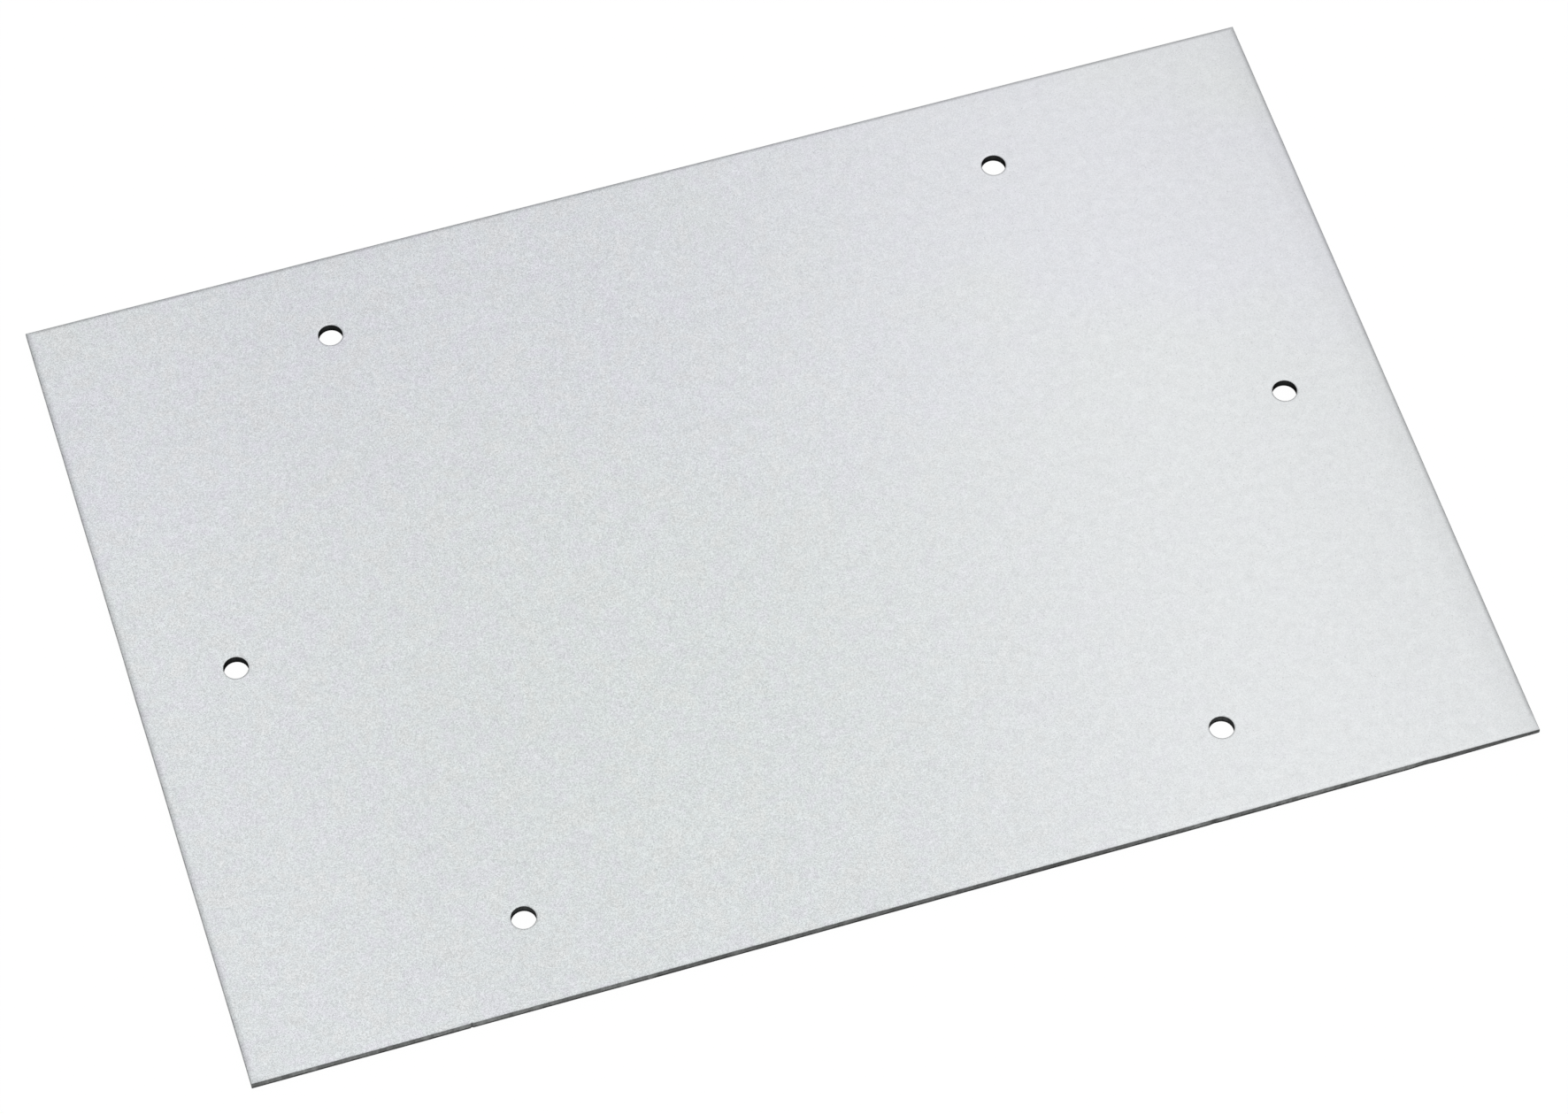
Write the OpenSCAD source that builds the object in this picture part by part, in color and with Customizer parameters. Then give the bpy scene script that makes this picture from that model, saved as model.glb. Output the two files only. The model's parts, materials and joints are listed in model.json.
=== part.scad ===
// Flat mounting plate, sheared and punched from galvanised steel sheet.
// The plate lies on its burr side. Its origin is the middle of the underside,
// with the length along X, the width along Y and the rolled face up.
// All sizes are in millimetres.

/* [Sheet] */
// Length of the plate, along X
plate_length = 264; // [240:1:300]
// Width of the plate, along Y
plate_width = 183; // [166:1:220]
// Thickness of the sheet
sheet_thickness = 2; // [1.5:0.1:3]

/* [Screw holes] */
// Diameter of each screw hole, at its straight wall
hole_diameter = 5; // [4:0.1:6.5]
// Centre distance of the four corner holes along the length
corner_pitch_x = 144; // [120:1:160]
// Centre distance of the four corner holes across the width
corner_pitch_y = 144; // [120:1:150]
// Centre distance of the two end holes, on the middle line of the length
end_pitch = 222; // [190:1:228]

/* [Sheared edge] */
// How far the rounding of the upper rim reaches in over the face
edge_roll_reach = 1.1; // [0.6:0.1:1.6]
// Slope of the face, in degrees, where its gentle rounding meets the tight one
edge_roll_slope = 15; // [8:1:25]
// Radius of the tight rounding between the face and the upright land
edge_rim_radius = 0.25; // [0.1:0.05:0.4]
// Height of the torn band above the underside
edge_tear_height = 0.6; // [0.3:0.05:0.9]
// How far the torn band leans in at the underside
edge_tear_lean = 0.08; // [0.02:0.01:0.15]

/* [Punched hole edge] */
// How far the rounding of a hole's mouth reaches out over the face
mouth_roll_reach = 0.5; // [0.3:0.05:0.8]
// Slope of the face, in degrees, where the mouth's two roundings meet
mouth_roll_slope = 18; // [10:1:30]
// Radius of the tight rounding between the face and the hole's wall
mouth_rim_radius = 0.15; // [0.05:0.01:0.25]
// Height of the torn band at a hole's lower end
mouth_tear_height = 0.6; // [0.3:0.05:0.9]
// How far the torn band opens the hole's radius at the underside
mouth_tear_lean = 0.06; // [0.02:0.01:0.12]

/* [Hidden] */
zinc = [0.86, 0.87, 0.88];
// Facets of a full circle, for the roundings and for the holes
roll_fn = 256;
hole_fn = 96;
// How far a cutting shape runs past the metal that it cuts
overrun = 1;

// A rounding is two arcs that run smoothly into each other: a gentle one that leaves the
// face level and falls to a slope, then a tight one that turns down into the wall.
// Radius of the gentle arc
function shoulder_radius(reach, slope, rim) = rim + (reach - rim) / sin(slope);
// How far below the face the tight arc meets the wall
function roll_drop(reach, slope, rim) =
    let (shoulder = shoulder_radius(reach, slope, rim))
        shoulder - (shoulder - rim) * cos(slope);

// Places of the screw holes: a square of four, then one near each end
hole_places = concat(
    [for (sx = [-1, 1], sy = [-1, 1]) [sx * corner_pitch_x, sy * corner_pitch_y] / 2],
    [for (sx = [-1, 1]) [sx * end_pitch / 2, 0]]
);

// What a rounding takes away beside an upright wall at x = 0. The metal lies on the
// side of negative x, and its face is at y = 0.
module roll_waste(reach, slope, rim) {
    shoulder = shoulder_radius(reach, slope, rim);
    drop = roll_drop(reach, slope, rim);
    above = drop + overrun;
    difference() {
        translate([-reach, -drop])
            square([reach + overrun, above]);
        intersection() {
            translate([-reach, -shoulder])
                circle(r = shoulder, $fn = roll_fn);
            // Under the gentle arc, up to the line on which the two arcs meet
            translate([-rim, -drop])
                polygon([[0, 0], [above * tan(slope), above], [rim - reach, above], [rim - reach, 0]]);
        }
        translate([-rim, -drop])
            circle(r = rim, $fn = roll_fn);
    }
}

// Cross-section of the sheared strip, as wide as span: a rolled upper rim, an upright
// shiny land and a torn band that leans in towards the burr side
module sheared_section(span) {
    half = span / 2;
    foot = half - edge_tear_lean;
    difference() {
        polygon([
            [-foot, 0],
            [foot, 0],
            [half, edge_tear_height],
            [half, sheet_thickness],
            [-half, sheet_thickness],
            [-half, edge_tear_height]
        ]);
        for (side = [0, 1])
            mirror([side, 0])
                translate([half, sheet_thickness])
                    roll_waste(edge_roll_reach, edge_roll_slope, edge_rim_radius);
    }
}

// The blank: where the strip sheared along its length and the one sheared across meet
module blank() {
    intersection() {
        translate([0, plate_width / 2 + overrun, 0])
            rotate([90, 0, 0])
                linear_extrude(height = plate_width + 2 * overrun)
                    sheared_section(plate_length);
        rotate([90, 0, 90])
            translate([0, 0, -plate_length / 2 - overrun])
                linear_extrude(height = plate_length + 2 * overrun)
                    sheared_section(plate_width);
    }
}

// What the punch takes away for one hole, on the Z axis: a straight barrel, the rolled
// mouth above it and the torn band that opens below it
module punched_hole() {
    radius = hole_diameter / 2;
    translate([0, 0, -overrun])
        cylinder(h = sheet_thickness + 2 * overrun, r = radius, $fn = hole_fn);
    rotate_extrude($fn = hole_fn)
        intersection() {
            translate([radius, sheet_thickness])
                mirror([1, 0])
                    roll_waste(mouth_roll_reach, mouth_roll_slope, mouth_rim_radius);
            square([radius + mouth_roll_reach, sheet_thickness + overrun]);
        }
    rotate_extrude($fn = hole_fn)
        polygon([
            [0, -overrun],
            [radius + mouth_tear_lean, -overrun],
            [radius + mouth_tear_lean, 0],
            [radius, mouth_tear_height],
            [0, mouth_tear_height]
        ]);
}

module mounting_plate() {
    color(zinc)
        difference() {
            blank();
            for (place = hole_places)
                translate(place)
                    punched_hole();
        }
}

mounting_plate();
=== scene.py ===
# %% [markdown]
# # A galvanised steel mounting plate
#
# This lesson dresses one flat plate: steel sheet with a hot-dip zinc coat, sheared to a
# rectangle and punched with six plain screw holes. Nearly all of it is one pale face, so
# the picture is carried by three things that are easy to miss: the fine grain and faint
# tints of the zinc, the section of the sheared edge, and the dark walls of the holes.
#
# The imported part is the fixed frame. Its node gives the sizes and its record gives the
# screw holes, so that nothing here has to be fitted by eye. Blender works in metres, and
# the shop's sizes are in millimetres, so every size below is a number times MM.

# %% Load the fixed frame
import json

import bpy
import numpy as np
from mathutils import Matrix, Vector


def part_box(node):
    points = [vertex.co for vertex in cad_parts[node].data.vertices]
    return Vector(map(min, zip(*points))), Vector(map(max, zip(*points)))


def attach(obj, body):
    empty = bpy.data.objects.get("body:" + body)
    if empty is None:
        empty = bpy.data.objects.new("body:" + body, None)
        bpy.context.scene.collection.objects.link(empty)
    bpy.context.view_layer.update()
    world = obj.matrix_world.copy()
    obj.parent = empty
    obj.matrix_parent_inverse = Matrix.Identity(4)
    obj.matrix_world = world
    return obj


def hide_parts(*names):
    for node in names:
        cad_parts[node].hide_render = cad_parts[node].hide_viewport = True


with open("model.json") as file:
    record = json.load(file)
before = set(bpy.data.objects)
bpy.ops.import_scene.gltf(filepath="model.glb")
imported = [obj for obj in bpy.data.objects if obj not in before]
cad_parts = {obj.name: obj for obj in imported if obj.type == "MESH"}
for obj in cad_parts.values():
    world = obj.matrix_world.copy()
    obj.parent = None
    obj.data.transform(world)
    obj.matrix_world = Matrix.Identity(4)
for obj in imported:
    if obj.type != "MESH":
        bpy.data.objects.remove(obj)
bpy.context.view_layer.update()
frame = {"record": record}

MM = 0.001
lowest, highest = (np.array(corner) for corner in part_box("mounting_plate"))
LENGTH, WIDTH, THICKNESS = highest - lowest
HOLES = [mount for mount in frame["record"]["mounts"] if mount["kind"] == "bore"]
HOLE_PLACES = np.array([mount["pos_m"][:2] for mount in HOLES])
HOLE_RADIUS = HOLES[0]["dims"]["r_mm"] * MM
print("sheet, mm:", np.round(np.array([LENGTH, WIDTH, THICKNESS]) / MM, 3))
print("holes:", len(HOLES), "of radius, mm:", HOLE_RADIUS / MM)

# %% [markdown]
# ## Where the camera stands
#
# The picture is taken from above the left end of the front edge with a long lens, so the
# far edge is hardly shorter than the near one. The camera's place, the point that it
# looks at and its slight roll were solved from the four corners and the six holes. The
# focal length came out in pixels of the picture, and a camera wants it in millimetres
# on its sensor, so it is scaled by the sensor's width over the picture's.

# %% Camera
PICTURE_WIDTH_PX = 1772
FOCAL_LENGTH_PX = 7242.4
SENSOR_WIDTH = 36.0
CAMERA_PLACE = Vector((-200.69, -670.69, 1092.53)) * MM
CAMERA_AIM = Vector((1.27, -7.25, 1.0)) * MM
CAMERA_ROLL = np.radians(-0.4394)


def look_at(place, aim, roll):
    """A pose at place whose minus Z axis points to aim. Its X axis is level, then it is
    turned about the line of sight by roll."""
    sight = (aim - place).to_track_quat("-Z", "Y").to_matrix().to_4x4()
    return Matrix.Translation(place) @ sight @ Matrix.Rotation(roll, 4, "Z")


camera_data = bpy.data.cameras.new("catalogue_camera")
camera_data.sensor_fit = "HORIZONTAL"
camera_data.sensor_width = SENSOR_WIDTH
camera_data.lens = SENSOR_WIDTH * FOCAL_LENGTH_PX / PICTURE_WIDTH_PX
camera = bpy.data.objects.new("catalogue_camera", camera_data)
camera.matrix_world = look_at(CAMERA_PLACE, CAMERA_AIM, CAMERA_ROLL)
bpy.context.scene.collection.objects.link(camera)
bpy.context.scene.camera = camera
print("lens, mm:", round(camera_data.lens, 2), "distance, mm:", round(camera.location.length / MM))

# %% [markdown]
# ## The section of a cut edge
#
# Sheet is never cut with a square edge. The blade first presses the face in, which rolls
# its rim over. Then it shears a smooth upright land, and at last the rest of the metal
# tears off and leaves a rough band that leans in. A punched hole has the same section,
# turned round to face its own middle. A bevel would give one even rounding all the way
# round, so the section is worked out here as a profile and carried along each cut.
#
# The rounding is two arcs that run smoothly into each other, a gentle one that leaves the
# face level and a tight one that turns down into the wall.

# %% Section of a sheared or punched edge
EDGE_CUT = {"reach": 1.3 * MM, "slope": np.radians(15), "rim": 0.25 * MM}
HOLE_CUT = {"reach": 0.5 * MM, "slope": np.radians(18), "rim": 0.15 * MM}
TEAR_HEIGHT = 0.6 * MM
EDGE_TEAR_LEAN = 0.05 * MM
ARC_STEPS = 9
LAND_STEPS = 4
TEAR_STEPS = 4
ROLL_ROWS = 2 * ARC_STEPS - 1


def rolled_rim(reach, slope, rim):
    """Inset from the wall, and depth below the face, of points along the rounding. The
    gentle arc has the radius shoulder = rim + (reach - rim) / sin(slope). At the angle a
    its inset is reach - shoulder sin(a) and its depth shoulder (1 - cos(a)). From the
    slope on, the tight arc has the inset rim (1 - sin(a)), and its depth is
    shoulder - (shoulder - rim) cos(slope) - rim cos(a)."""
    shoulder = rim + (reach - rim) / np.sin(slope)
    gentle = np.linspace(0, slope, ARC_STEPS)
    tight = np.linspace(slope, np.pi / 2, ARC_STEPS)[1:]
    drop = shoulder - (shoulder - rim) * np.cos(slope)
    inset = np.r_[reach - shoulder * np.sin(gentle), rim * (1 - np.sin(tight))]
    depth = np.r_[shoulder * (1 - np.cos(gentle)), drop - rim * np.cos(tight)]
    return inset, depth


def cut_section(cut, tear_height, tear_lean, sink=0.0, deepen=1.0):
    """Inset and height of the whole section, one row for each place along the cut. The
    roll comes first, then the land and then the torn band, whose inset grows evenly to
    tear_lean at the underside. sink sets the wall back and fades out over the roll, and
    deepen stretches the roll's depth. The last four may be one number or one for each
    place."""
    tear_height, tear_lean, sink, deepen = (
        np.atleast_1d(value)[:, None] for value in (tear_height, tear_lean, sink, deepen)
    )
    places = max(len(value) for value in (tear_height, tear_lean, sink, deepen))
    inset, depth = rolled_rim(**cut)
    land = np.linspace(0, 1, LAND_STEPS + 1)[1:]
    tear = np.linspace(0, 1, TEAR_STEPS + 1)[1:]
    roll_height = THICKNESS - depth * deepen
    land_height = roll_height[:, -1:] + (tear_height - roll_height[:, -1:]) * land
    insets = (inset + sink * (1 - inset / cut["reach"]), sink + 0 * land, sink + tear_lean * tear)
    heights = (roll_height, land_height, tear_height * (1 - tear))
    return tuple(
        np.hstack([np.broadcast_to(part, (places, part.shape[1])) for part in parts])
        for parts in (insets, heights)
    )


section_inset, section_height = cut_section(EDGE_CUT, TEAR_HEIGHT, EDGE_TEAR_LEAN)
edge_drop = THICKNESS - section_height[0, ROLL_ROWS - 1]
print("points in a section:", section_inset.shape[1], "roll goes down, mm:", round(edge_drop / MM, 3))

# %% [markdown]
# ## The lines of the flat face
#
# The two faces are flat, so they need no shape of their own, only lines that meet the
# cuts. A plain grid of lines does it, with a fan of closer lines through the square
# round each hole. The lines of a fan stand at the tangents of even angles, so that they
# meet the rim of a round hole at even steps. A few lines stand close together where the
# front edge has a nick.

# %% Grid lines of the face
SQUARE = 7 * MM
QUARTER_STEPS = 24
FACE_STEP = 4 * MM
FAN_ANGLES = np.linspace(-np.pi / 4, np.pi / 4, QUARTER_STEPS + 1)
FAN = SQUARE * np.tan(FAN_ANGLES)
CLEAR_OF_FAN = 0.25 * MM
# Places are rounded to a ten-thousandth of a millimetre, so that shared points are equal
PLACE_DIGITS = 7
# Nicks on the front edge: place along X, half width, how far the wall is set back
NICKS = np.array([[-88.0, 0.2, 0.14], [63.6, 0.7, 0.07], [107.8, 1.9, 0.09]]) * MM
# Lines at a nick, in half widths from its middle
NICK_LINES = np.linspace(-2, 2, 9)


def face_lines(half, centres, nicks):
    """Places of the lines across one side, from -half to half: even steps of about
    FACE_STEP and close lines at each nick, left out where a hole's fan takes over."""
    steps = int(round(2 * half / FACE_STEP))
    close = (nicks[:, :1] + nicks[:, 1:2] * NICK_LINES).ravel()
    lines = np.r_[np.linspace(-half, half, steps + 1), close]
    clear = np.all(np.abs(lines[:, None] - centres) > SQUARE + CLEAR_OF_FAN, axis=1)
    fans = (centres[:, None] + FAN).ravel()
    return np.unique(np.round(np.r_[lines[clear], fans], PLACE_DIGITS))


face_half = np.array([LENGTH, WIDTH]) / 2 - EDGE_CUT["reach"]
X_LINES = face_lines(face_half[0], np.unique(HOLE_PLACES[:, 0]), NICKS)
Y_LINES = face_lines(face_half[1], np.unique(HOLE_PLACES[:, 1]), NICKS[:0])
print("grid lines:", len(X_LINES), "by", len(Y_LINES))

# %% [markdown]
# ## How a real cut wanders
#
# A blade leaves an edge that is straight to the eye but not perfect. Its roll is a
# little deeper in some places and the torn band is taller in others. Towards the right
# end of the front cut, where the last of the strip broke away, the tear is taller, leans
# in more and lies a little further in, and the back cut lies a hair inside its line.
#
# A small sum of cosines, which closes on itself round the plate, makes the even wander,
# and the nicks are dips with a bell shape. They all go into the metal, so the plate never
# grows past its size.

# %% Wander of the cuts
WANDER_SEED = 7
WANDER_WAVES = np.arange(4, 45)
WALL_WANDER = 0.05 * MM
TEAR_RISE_WANDER = 0.14 * MM
ROLL_LEAST, ROLL_WANDER = 0.94, 0.12


def wander(turn, seed):
    """Even wander between 0 and 1 round the plate. turn runs from 0 to 1 on the way
    round. It is a sum of cosines of 4 to 44 whole waves, of amplitude one over the
    square root of their number and of random phase."""
    phase = np.random.default_rng(seed).uniform(0, 2 * np.pi, len(WANDER_WAVES))
    waves = np.cos(2 * np.pi * turn[:, None] * WANDER_WAVES + phase) / np.sqrt(WANDER_WAVES)
    total = waves.sum(axis=1)
    return (total - total.min()) / np.ptp(total)


def nick_depth(points):
    """How far the nicks set back the front wall: a bell curve round each place. A bell's
    height falls off as e to the minus square of the distance in half widths."""
    bells = np.exp(-(((points[:, :1] - NICKS[:, 0]) / NICKS[:, 1]) ** 2)) * NICKS[:, 2]
    on_front = points[:, 1] == Y_LINES[0]
    return bells.sum(axis=1) * on_front


wander_trial = wander(np.linspace(0, 1, 500), WANDER_SEED)
print("wander, mean:", round(wander_trial.mean(), 2), "deepest nick, mm:", NICKS[:, 2].max() / MM)

# %% Rim of the sheet
BROKEN_CORNER = np.array([LENGTH, -WIDTH]) / 2
CORNER_REACH = 54.4 * MM
CORNER_TEAR_LEAN = 0.36 * MM
CORNER_TEAR_RISE = 0.2 * MM
SINK_FROM, SINK_TO = 75 * MM, 30 * MM
CORNER_SINK = 0.16 * MM
BACK_SINK = 0.14 * MM


def border(xs, ys):
    """Points of the flat face's border, anticlockwise from above, from the front left
    corner, and at each the way out of the metal: one step along X or Y, both at a
    corner."""
    front = np.c_[xs[:-1], np.full(len(xs) - 1, ys[0])]
    right = np.c_[np.full(len(ys) - 1, xs[-1]), ys[:-1]]
    back = np.c_[xs[:0:-1], np.full(len(xs) - 1, ys[-1])]
    left = np.c_[np.full(len(ys) - 1, xs[0]), ys[:0:-1]]
    points = np.vstack([front, right, back, left])
    limit = np.array([xs[-1], ys[-1]])
    way_out = (points >= limit).astype(float) - (points <= -limit)
    return points, way_out


def rim_surface():
    """Surface of the four cut edges: the section carried along the face's border. A
    point with the inset i lies reach - i outside the border, and its last row closes
    the way back to the border of the underside. near is 1 at the broken corner and
    falls to 0 at CORNER_REACH from it, as the cube of the distance left. sunk grows
    evenly from 0 at SINK_FROM to 1 at SINK_TO from that corner."""
    points, way_out = border(X_LINES, Y_LINES)
    step = np.linalg.norm(np.roll(points, -1, axis=0) - points, axis=1)
    turn = np.r_[0, np.cumsum(step)[:-1]] / step.sum()
    from_corner = np.linalg.norm(points - BROKEN_CORNER, axis=1)
    near = np.clip(1 - from_corner / CORNER_REACH, 0, 1) ** 3
    sunk = np.clip((SINK_FROM - from_corner) / (SINK_FROM - SINK_TO), 0, 1)
    behind = BACK_SINK * (way_out[:, 1] > 0)
    even = WALL_WANDER * wander(turn, WANDER_SEED + 1)
    tall = TEAR_HEIGHT + TEAR_RISE_WANDER * (wander(turn, WANDER_SEED) - 0.5) + CORNER_TEAR_RISE * near
    deepen = ROLL_LEAST + ROLL_WANDER * wander(turn, WANDER_SEED + 2)
    # A corner belongs to two walls, and what happens to the front one leaves the side one alone
    inset_x, height = cut_section(EDGE_CUT, tall, EDGE_TEAR_LEAN, sink=even, deepen=deepen)
    inset_y, height = cut_section(
        EDGE_CUT, tall, EDGE_TEAR_LEAN * (1 - sunk) + CORNER_TEAR_LEAN * near,
        sink=even + nick_depth(points) + CORNER_SINK * sunk + behind, deepen=deepen,
    )
    inset = np.stack([inset_x, inset_y], axis=-1)
    inset = np.concatenate([inset, np.full((len(inset), 1, 2), EDGE_CUT["reach"])], axis=1)
    height = np.c_[height, np.zeros(len(height))]
    out = (EDGE_CUT["reach"] - inset) * way_out[:, None]
    return np.concatenate([points[:, None] + out, height[..., None]], axis=2).transpose(1, 0, 2)


rim = rim_surface()
print("rim of the sheet:", rim.shape[0], "rows of", rim.shape[1], "points")

# %% [markdown]
# ## The punched holes
#
# Each hole is one closed surface that starts on the square of grid lines round it, draws
# in to the round mouth, goes down through the section and comes back out to the same
# square on the underside. It takes the place of a boolean cut, which would leave ragged
# triangles just where the light catches the rolled mouth.

# %% Surface of one hole
FLAT_RINGS = 4
HOLE_TEAR_LEAN = 0.0


def hole_surface(place):
    """Rows of points round one hole. Its directions stand at even angles. A flat ring
    blends the square, which a direction (c, s) meets at SQUARE / max(|c|, |s|), into the
    circle at the mouth's reach, and the section's inset is added to the hole's radius."""
    angle = np.concatenate([quarter * np.pi / 2 - np.pi / 2 + FAN_ANGLES[:-1] for quarter in range(4)])
    way = np.c_[np.cos(angle), np.sin(angle)]
    square = SQUARE / np.abs(way).max(axis=1)
    inset, height = cut_section(HOLE_CUT, TEAR_HEIGHT, HOLE_TEAR_LEAN)
    share = np.linspace(0, 1, FLAT_RINGS, endpoint=False)[:, None]
    mouth = HOLE_RADIUS + HOLE_CUT["reach"]
    foot = HOLE_RADIUS + HOLE_TEAR_LEAN
    above = square * (1 - share) + mouth * share
    below = (square * (1 - share) + foot * share)[::-1]
    wall = np.broadcast_to(HOLE_RADIUS + inset.T, (inset.shape[1], len(angle)))
    radius = np.vstack([above, wall, below])
    z = np.r_[np.full(FLAT_RINGS, THICKNESS), height[0], np.zeros(FLAT_RINGS)]
    level = np.broadcast_to(z[:, None], radius.shape)
    return np.dstack([place[0] + radius * way[:, 0], place[1] + radius * way[:, 1], level])


holes = [hole_surface(place) for place in HOLE_PLACES]
print("one hole:", holes[0].shape[0], "rows of", holes[0].shape[1], "points")

# %% [markdown]
# ## One closed plate
#
# All the surfaces are grids of points, so one function turns any of them into four-sided
# faces. The faces then get one of three finishes: zinc on both faces and over the rolled
# rims, bare sheared steel on the outer cuts, and the darker wall of the punched holes.
# Points that two surfaces share are merged by their rounded places, which closes the
# plate without a seam.

# %% Surfaces as points and faces
ZINC, SHEARED, PUNCHED = range(3)
BARE_ROWS = 3


def grid_faces(rows, columns, closed):
    """Corners of the four-sided faces of a grid, by number, row after row. A closed grid
    joins its last column to its first."""
    across = columns if closed else columns - 1
    row, column = np.mgrid[0 : rows - 1, 0:across]
    after = (column + 1) % columns
    corners = [row * columns + column, row * columns + after]
    corners += [(row + 1) * columns + after, (row + 1) * columns + column]
    return np.stack(corners, axis=-1).reshape(-1, 4)


def flat_face(level, upwards):
    """The grid at one level, without the squares that hold a hole, as points, faces and
    one finish for each face, which is zinc."""
    x, y = np.meshgrid(X_LINES, Y_LINES)
    points = np.dstack([x, y, np.full_like(x, level)]).reshape(-1, 3)
    faces = grid_faces(len(Y_LINES), len(X_LINES), closed=False)
    middle = points[faces].mean(axis=1)[:, None, :2]
    faces = faces[(np.abs(middle - HOLE_PLACES) > SQUARE).any(axis=2).all(axis=1)]
    return points, faces if upwards else faces[:, ::-1], np.full(len(faces), ZINC)


def swept(surface, flat_rows, wall_finish, outwards):
    """A closed sweep as points, faces and one finish for each face: zinc on the flat and
    rolled rows, then the wall's finish, which starts BARE_ROWS above the land because
    the tool wipes the coat off there."""
    rows, columns = surface.shape[:2]
    land = flat_rows + ROLL_ROWS - 1
    finishes = np.full(rows - 1, ZINC)
    finishes[land - BARE_ROWS : land + LAND_STEPS + TEAR_STEPS] = wall_finish
    faces = grid_faces(rows, columns, closed=True)
    return surface.reshape(-1, 3), faces if outwards else faces[:, ::-1], np.repeat(finishes, columns)


patches = [flat_face(THICKNESS, upwards=True), flat_face(0.0, upwards=False)]
patches.append(swept(rim, 0, SHEARED, outwards=False))
patches += [swept(hole, FLAT_RINGS, PUNCHED, outwards=True) for hole in holes]
print("surfaces to join:", len(patches))

# %% Join the surfaces
MERGE = 1e-7

offsets = np.cumsum([0] + [len(points) for points, faces, finishes in patches])
all_points = np.vstack([points for points, faces, finishes in patches])
all_faces = np.vstack([faces + offset for (points, faces, finishes), offset in zip(patches, offsets)])
all_finishes = np.concatenate([finishes for points, faces, finishes in patches])
first, merged = np.unique(
    np.round(all_points / MERGE).astype(np.int64), axis=0, return_index=True, return_inverse=True
)[1:]
# The grid's own points inside the squares of the holes belong to no face and are left out
used, corners = np.unique(merged.reshape(-1)[all_faces], return_inverse=True)
plate_points = all_points[first[used]]
plate_faces = corners.reshape(-1, 4)
print("plate:", len(plate_points), "points and", len(plate_faces), "faces")
# A closed skin of four-sided faces with h holes through it has 2 - 2h more points than faces
print("points less faces:", len(plate_points) - len(plate_faces), "for", len(HOLES), "holes")

# %% Plate object
SHARP_ANGLE = np.radians(30)


def make_mesh(name, points, faces, finishes):
    """A mesh of four-sided faces, smooth but for edges sharper than SHARP_ANGLE."""
    mesh = bpy.data.meshes.new(name)
    mesh.vertices.add(len(points))
    mesh.vertices.foreach_set("co", points.astype(np.float32).ravel())
    mesh.loops.add(faces.size)
    mesh.loops.foreach_set("vertex_index", faces.astype(np.int32).ravel())
    mesh.polygons.add(len(faces))
    mesh.polygons.foreach_set("loop_start", np.arange(0, faces.size, 4, dtype=np.int32))
    mesh.polygons.foreach_set("material_index", finishes.astype(np.int32))
    mesh.update(calc_edges=True)
    mesh.validate()
    mesh.shade_smooth()
    mesh.set_sharp_from_angle(angle=SHARP_ANGLE)
    return mesh


def loose_edges(faces):
    """How many edges don't lie between exactly two faces."""
    ends = np.sort(np.stack([faces, np.roll(faces, -1, axis=1)], axis=-1).reshape(-1, 2), axis=1)
    count = np.unique(ends, axis=0, return_counts=True)[1]
    return int((count != 2).sum())


plate_mesh = make_mesh("galvanised_plate", plate_points, plate_faces, all_finishes)
plate = bpy.data.objects.new("galvanised_plate", plate_mesh)
bpy.context.scene.collection.objects.link(plate)
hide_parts("mounting_plate")
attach(plate, "root")
print("open or doubled edges:", loose_edges(plate_faces))

# %% [markdown]
# ## Four small helpers for the finishes
#
# Colours are read off a picture as sRGB values, but a shader adds up light, so one
# function turns a hex value to linear light. Another adds a node with its settings and
# links in one call, which keeps a finish readable from top to bottom. A third empties the
# node tree that Blender starts with, and the last one starts a finish.

# %% Colour and node helpers
# A Mix node has its two numbers at inputs 2 and 3, and its two colours at inputs 6 and 7.
# A mixed number comes out at output 0, and a mixed colour at this output.
MIX_RESULT = 2
# A noise seldom leaves this range
NOISE_LOW, NOISE_HIGH = 0.3, 0.7
PURE_WHITE = "#FFFFFF"


def linear(hex_colour):
    """An sRGB value such as #DBDFE0 as linear red, green and blue with an alpha of 1: the
    share v becomes v / 12.92 up to 0.04045, and ((v + 0.055) / 1.055) to the 2.4 above."""
    share = np.array([int(hex_colour[place : place + 2], 16) for place in (1, 3, 5)]) / 255
    return (*np.where(share <= 0.04045, share / 12.92, ((share + 0.055) / 1.055) ** 2.4), 1.0)


def add_node(tree, kind, settings=None, stops=(), **inputs):
    """Adds a node, sets its properties and fills its inputs. An input is named by its
    socket, with _ for a space, or by in_ and its place. A socket as its value is linked.
    A colour ramp also takes its stops, as (position, hex colour) in rising order, and
    eases from each to the next."""
    node = tree.nodes.new(kind)
    for name, value in (settings or {}).items():
        setattr(node, name, value)
    for name, value in inputs.items():
        place = int(name[3:]) if name.startswith("in_") else name.replace("_", " ")
        if isinstance(value, bpy.types.NodeSocket):
            tree.links.new(value, node.inputs[place])
        else:
            node.inputs[place].default_value = value
    for number, (position, colour) in enumerate(stops):
        node.color_ramp.interpolation = "EASE"
        elements = node.color_ramp.elements
        element = elements[number] if number < 2 else elements.new(1.0)
        element.position, element.color = position, linear(colour)
    return node


def empty_tree(owner):
    """The node tree of a material or a world, without the nodes that it starts with."""
    owner.use_nodes = True
    owner.node_tree.nodes.clear()
    return owner.node_tree


def new_finish(name):
    """A material, its node tree and its shader, which is joined to the output."""
    material = bpy.data.materials.new(name)
    tree = empty_tree(material)
    shader = add_node(tree, "ShaderNodeBsdfPrincipled")
    add_node(tree, "ShaderNodeOutputMaterial", Surface=shader.outputs["BSDF"])
    return material, tree, shader


print("mid grey in linear light:", round(linear("#808080")[0], 4))

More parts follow.
